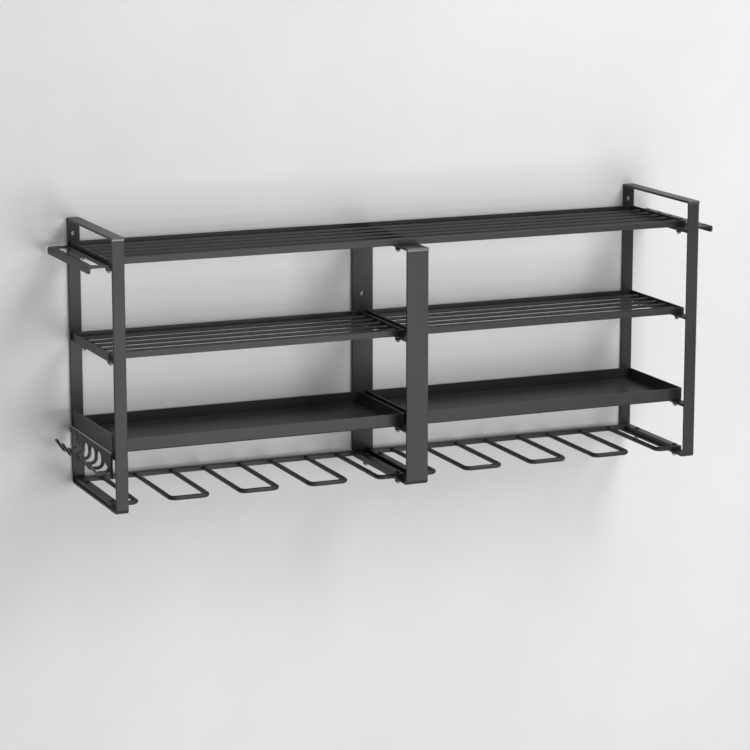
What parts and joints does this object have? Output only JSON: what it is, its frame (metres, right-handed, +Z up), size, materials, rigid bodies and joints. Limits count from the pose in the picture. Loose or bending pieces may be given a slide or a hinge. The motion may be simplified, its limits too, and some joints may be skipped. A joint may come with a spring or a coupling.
{
  "type": "wall mounted tool rack",
  "caption": "Wall mounted steel rack with rod shelves, shallow trays, a row of slots that power tools hang in, and side racks for hand tools.",
  "frame": {"origin": "on the wall, in the middle of the four wall holes of the two end frames", "axes": "+X along the wall to the right as seen from the front, +Y into the wall, +Z up"},
  "size_m": [0.8702, 0.1858, 0.3546],
  "materials": {
    "rack_black": "powder coated, fine texture",
    "shelf_black": "powder coated, fine texture",
    "tray_black": "powder coated, fine texture",
    "tool_rack_black": "powder coated, fine texture",
    "side_rack_black": "powder coated, fine texture",
    "fastener_black": "black plated, satin"
  },
  "bodies": {
    "root": {"left_end_frame": "rack_black", "left_top_bar": "rack_black", "left_upper_crossbar": "rack_black", "left_middle_crossbar": "rack_black", "left_lower_crossbar": "rack_black", "right_end_frame": "rack_black", "right_top_bar": "rack_black", "right_upper_crossbar": "rack_black", "right_middle_crossbar": "rack_black", "right_lower_crossbar": "rack_black", "middle_frame": "rack_black", "middle_top_bar": "rack_black", "middle_upper_crossbar": "rack_black", "middle_lower_crossbar": "rack_black", "top_shelf": "shelf_black", "left_rod_shelf": "shelf_black", "right_rod_shelf": "shelf_black", "left_tray": "tray_black", "right_tray": "tray_black", "left_tool_rack_frame": "tool_rack_black", "right_tool_rack_frame": "tool_rack_black", "left_tool_rack_prongs": "tool_rack_black", "right_tool_rack_prongs": "tool_rack_black", "pliers_rack": "side_rack_black", "screwdriver_rack": "side_rack_black", "wrench_rack_bracket": "side_rack_black", "wrench_rack_comb": "side_rack_black", "top_shelf_screws": "fastener_black", "middle_shelf_screws": "fastener_black", "tray_screws": "fastener_black", "tool_rack_screws": "fastener_black", "top_shelf_nuts": "fastener_black", "middle_shelf_nuts": "fastener_black", "tray_nuts": "fastener_black", "tool_rack_nuts": "fastener_black"}
  },
  "joints": []
}
